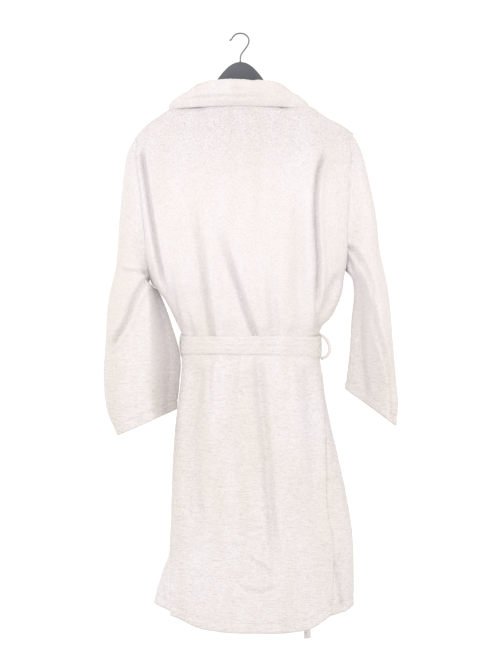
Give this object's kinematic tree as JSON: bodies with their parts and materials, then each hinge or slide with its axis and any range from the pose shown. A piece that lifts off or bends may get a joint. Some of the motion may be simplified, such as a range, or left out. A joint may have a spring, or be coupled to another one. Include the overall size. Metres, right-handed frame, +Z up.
{
  "type": "bathrobe",
  "caption": "Terry bathrobe with a shawl collar, tie belt, belt loops and patch pockets, hanging on its hanger with the hook over a peg.",
  "frame": {"origin": "inside top of the hanger hook's bend, where it sits on a peg", "axes": "+Z up, +Y out of the robe's front, -X towards the wearer's left sleeve; the back faces -Y"},
  "size_m": [0.639, 0.2022, 1.345],
  "materials": {
    "terry": "matte",
    "slate": "satin",
    "steel": "satin",
    "satin": "satin"
  },
  "bodies": {
    "hook": {"hanger_hook": "steel"},
    "robe": {"hook_ferrule": "steel", "hanger_body": "slate", "back_panel": "terry", "left_front": "terry", "right_front": "terry", "left_sleeve_upper": "terry", "right_sleeve_upper": "terry", "collar_back": "terry", "left_lapel": "terry", "right_lapel": "terry", "neck_label": "satin", "belt_wrap": "terry", "belt_knot": "terry", "left_pocket": "terry", "right_pocket": "terry"},
    "left_sleeve": {"left_sleeve_lower": "terry"},
    "right_sleeve": {"right_sleeve_lower": "terry"},
    "front_flap": {"left_front_lower": "terry"},
    "belt_tail_long": {"belt_tail_long": "terry"},
    "belt_tail_short": {"belt_tail_short": "terry"},
    "belt_loop_left": {"belt_loop_left": "terry"},
    "belt_loop_right": {"belt_loop_right": "terry"},
    "locker_loop": {"locker_loop": "satin"}
  },
  "joints": [
    {"name": "hook_swivel", "type": "hinge", "parent": "hook", "child": "robe", "pos_m": [0, 0, -0.06], "axis": [0, 0, 1], "continuous": true},
    {"name": "left_sleeve_swing", "type": "hinge", "parent": "robe", "child": "left_sleeve", "pos_m": [-0.209, 0, -0.561], "axis": [0, 1, 0], "range_deg": [0, 44]},
    {"name": "right_sleeve_swing", "type": "hinge", "parent": "robe", "child": "right_sleeve", "pos_m": [0.254, 0, -0.561], "axis": [0, -1, 0], "range_deg": [0, 44]},
    {"name": "front_flap_swing", "type": "hinge", "parent": "robe", "child": "front_flap", "pos_m": [-0.1559, 0, -1], "axis": [0.0703, 0, 0.9975], "range_deg": [0, 70]},
    {"name": "long_tail_lift", "type": "hinge", "parent": "robe", "child": "belt_tail_long", "pos_m": [0.153, 0.0812, -0.7123], "axis": [1, 0, 0], "range_deg": [0, 70]},
    {"name": "short_tail_lift", "type": "hinge", "parent": "robe", "child": "belt_tail_short", "pos_m": [0.124, 0.0812, -0.7123], "axis": [1, 0, 0], "range_deg": [0, 70]},
    {"name": "left_loop_turn", "type": "hinge", "parent": "robe", "child": "belt_loop_left", "pos_m": [-0.1302, 0, -0.69], "axis": [0, 0, 1], "range_deg": [-10, 10]},
    {"name": "right_loop_turn", "type": "hinge", "parent": "robe", "child": "belt_loop_right", "pos_m": [0.1722, 0, -0.69], "axis": [0, 0, 1], "range_deg": [-25, 25]},
    {"name": "locker_loop_flip", "type": "hinge", "parent": "robe", "child": "locker_loop", "pos_m": [0, -0.0365, -0.1535], "axis": [1, 0, 0], "range_deg": [0, 35]}
  ]
}
